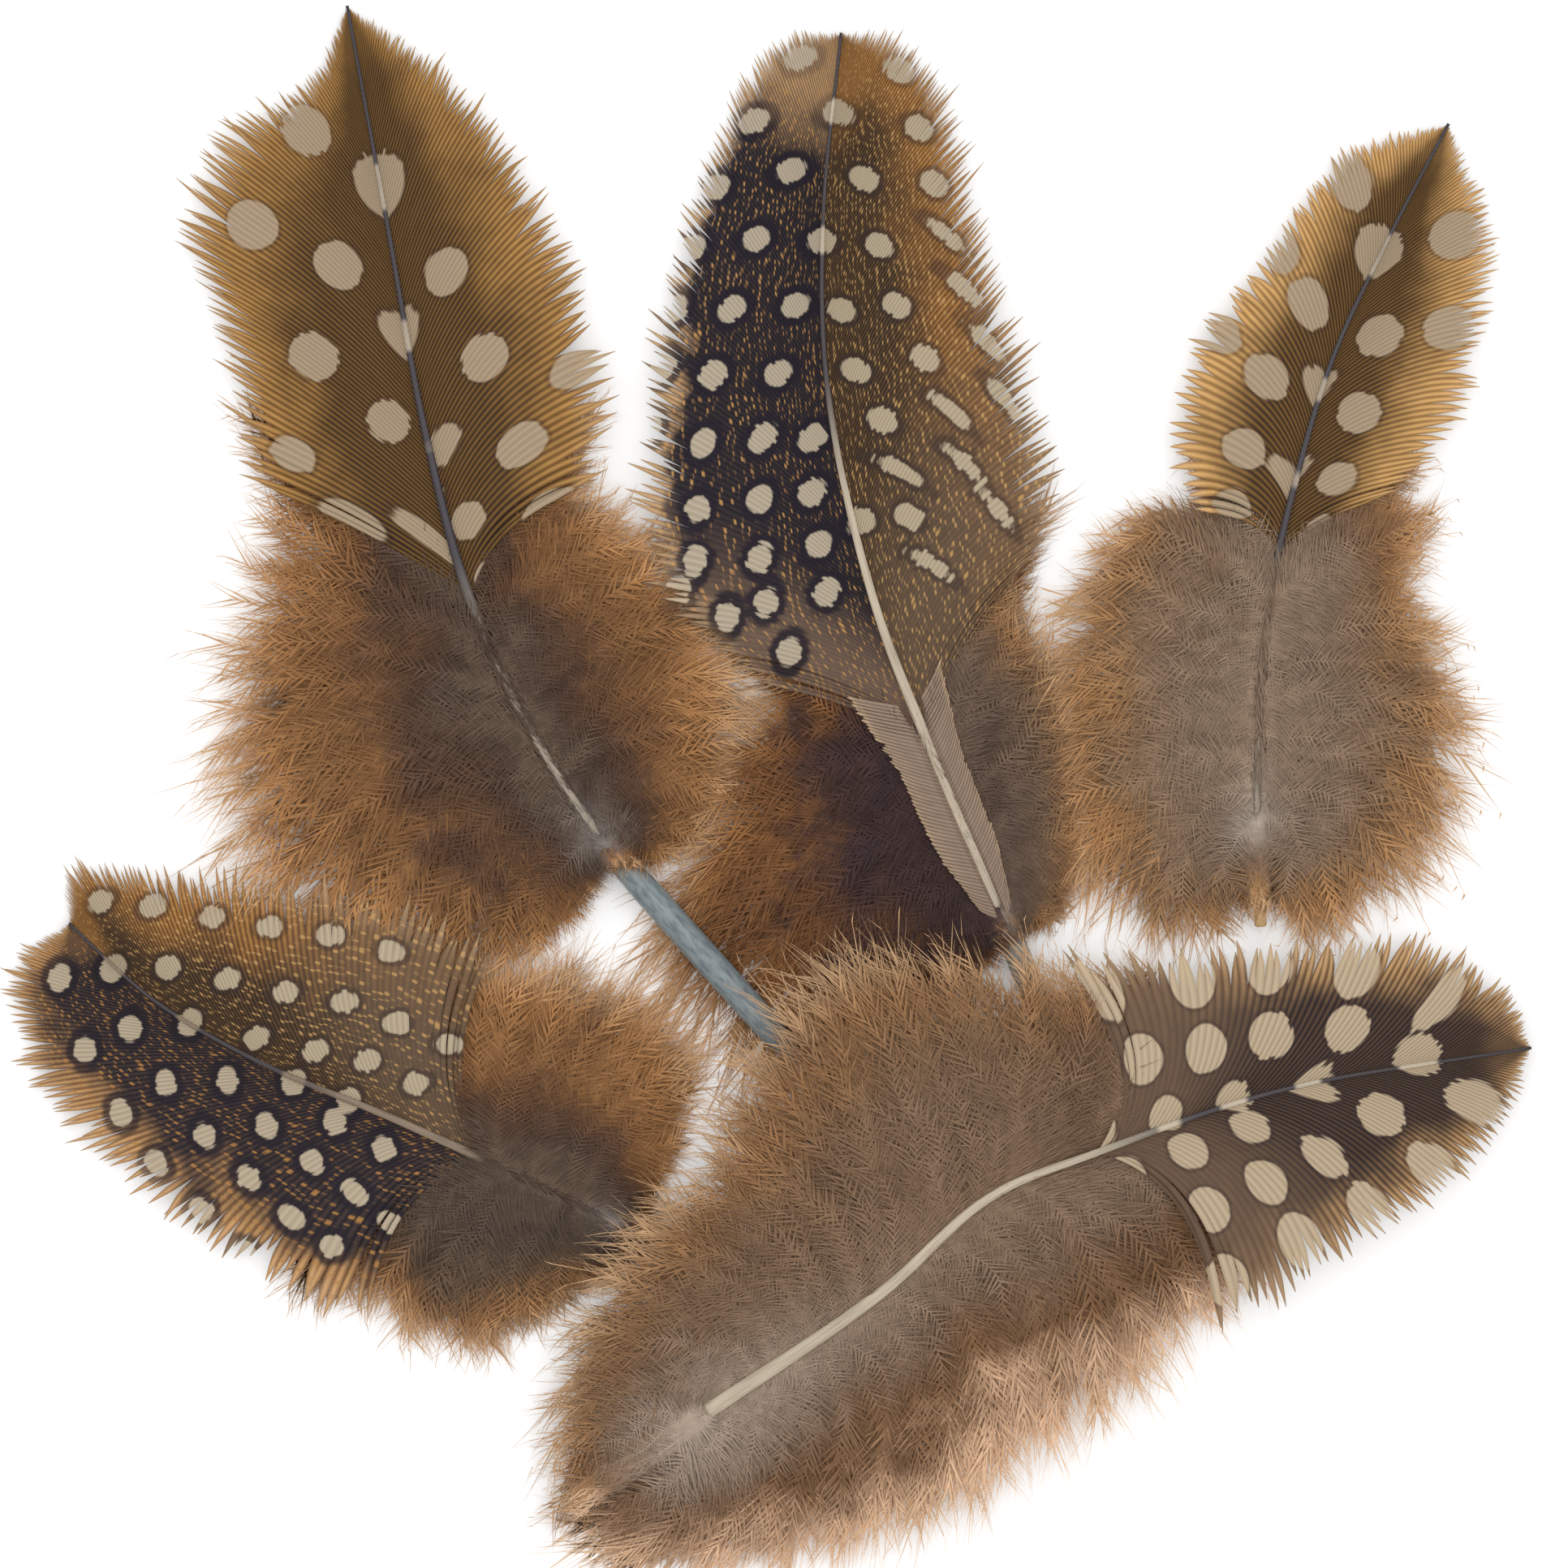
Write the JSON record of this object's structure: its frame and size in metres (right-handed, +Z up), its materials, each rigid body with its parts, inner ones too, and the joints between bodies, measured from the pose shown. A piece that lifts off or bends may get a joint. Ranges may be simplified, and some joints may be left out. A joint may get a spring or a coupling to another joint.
{
  "type": "spread of loose quill feathers",
  "caption": "Flat spread of loose spotted and speckled guineafowl body quills, overlapping, each with barrel, shaft, closed vane, downy base and afterfeather; the pieces lift off one by one.",
  "frame": {"origin": "centre of the bounding box at the surface that the feathers lie on", "axes": "+Z up from the surface; +Y and +X are the two sides of the square that the spread fills, +Y towards the tips of the two tallest standing feathers"},
  "size_m": [0.094, 0.0962, 0.0052],
  "materials": {
    "quill_horn": "smooth translucent blue-grey horn with a soft sheen",
    "quill_horn_tan": "smooth translucent tan horn with a soft sheen",
    "shaft_horn_dark": "smooth dark brown horn, half glossy",
    "shaft_horn_pale": "smooth pale cream horn, half glossy",
    "pith": "dull white spongy pith",
    "pulp_cap": "dry thin translucent membrane",
    "vane_spotted": "olive-brown combed barbs with large round beige spots, silky sheen",
    "vane_speckled": "near-black combed barbs with rows of small cream spots and fine tan speckle, silky sheen",
    "down": "loose matte taupe down, rusty at the edge",
    "afterfeather_down": "loose matte pale taupe down"
  },
  "bodies": {
    "spotted_long": {"spotted_long_afterfeather": "afterfeather_down", "spotted_long_aftershaft": "shaft_horn_dark", "spotted_long_down_left": "down", "spotted_long_down_right": "down", "spotted_long_pith": "pith", "spotted_long_pulp_caps": "pulp_cap", "spotted_long_quill": "quill_horn", "spotted_long_shaft": "shaft_horn_dark", "spotted_long_vane_left": "vane_spotted", "spotted_long_vane_right": "vane_spotted"},
    "speckled_short": {"speckled_short_afterfeather": "afterfeather_down", "speckled_short_aftershaft": "shaft_horn_pale", "speckled_short_down_left": "down", "speckled_short_down_right": "down", "speckled_short_pith": "pith", "speckled_short_pulp_caps": "pulp_cap", "speckled_short_quill": "quill_horn", "speckled_short_shaft": "shaft_horn_pale", "speckled_short_vane_left": "vane_speckled", "speckled_short_vane_right": "vane_speckled"},
    "spotted_small": {"spotted_small_afterfeather": "afterfeather_down", "spotted_small_aftershaft": "shaft_horn_dark", "spotted_small_down_left": "down", "spotted_small_down_right": "down", "spotted_small_pith": "pith", "spotted_small_pulp_caps": "pulp_cap", "spotted_small_quill": "quill_horn_tan", "spotted_small_shaft": "shaft_horn_dark", "spotted_small_vane_left": "vane_spotted", "spotted_small_vane_right": "vane_spotted"},
    "speckled_long": {"speckled_long_afterfeather": "afterfeather_down", "speckled_long_aftershaft": "shaft_horn_pale", "speckled_long_down_left": "down", "speckled_long_down_right": "down", "speckled_long_pith": "pith", "speckled_long_pulp_caps": "pulp_cap", "speckled_long_quill": "quill_horn", "speckled_long_shaft": "shaft_horn_pale", "speckled_long_vane_left": "vane_speckled", "speckled_long_vane_right": "vane_speckled"},
    "spotted_broad": {"spotted_broad_afterfeather": "afterfeather_down", "spotted_broad_aftershaft": "shaft_horn_pale", "spotted_broad_down_left": "down", "spotted_broad_down_right": "down", "spotted_broad_pith": "pith", "spotted_broad_pulp_caps": "pulp_cap", "spotted_broad_quill": "quill_horn_tan", "spotted_broad_shaft": "shaft_horn_pale", "spotted_broad_vane_left": "vane_spotted", "spotted_broad_vane_right": "vane_spotted"}
  },
  "joints": [
    {"name": "lift_speckled_short", "type": "slide", "parent": "spotted_long", "child": "speckled_short", "axis": [0, 0, 1], "range_m": [0, 0.03]},
    {"name": "lift_spotted_small", "type": "slide", "parent": "speckled_short", "child": "spotted_small", "axis": [0, 0, 1], "range_m": [0, 0.03]},
    {"name": "lift_speckled_long", "type": "slide", "parent": "spotted_small", "child": "speckled_long", "axis": [0, 0, 1], "range_m": [0, 0.03]},
    {"name": "lift_spotted_broad", "type": "slide", "parent": "speckled_long", "child": "spotted_broad", "axis": [0, 0, 1], "range_m": [0, 0.03]}
  ]
}
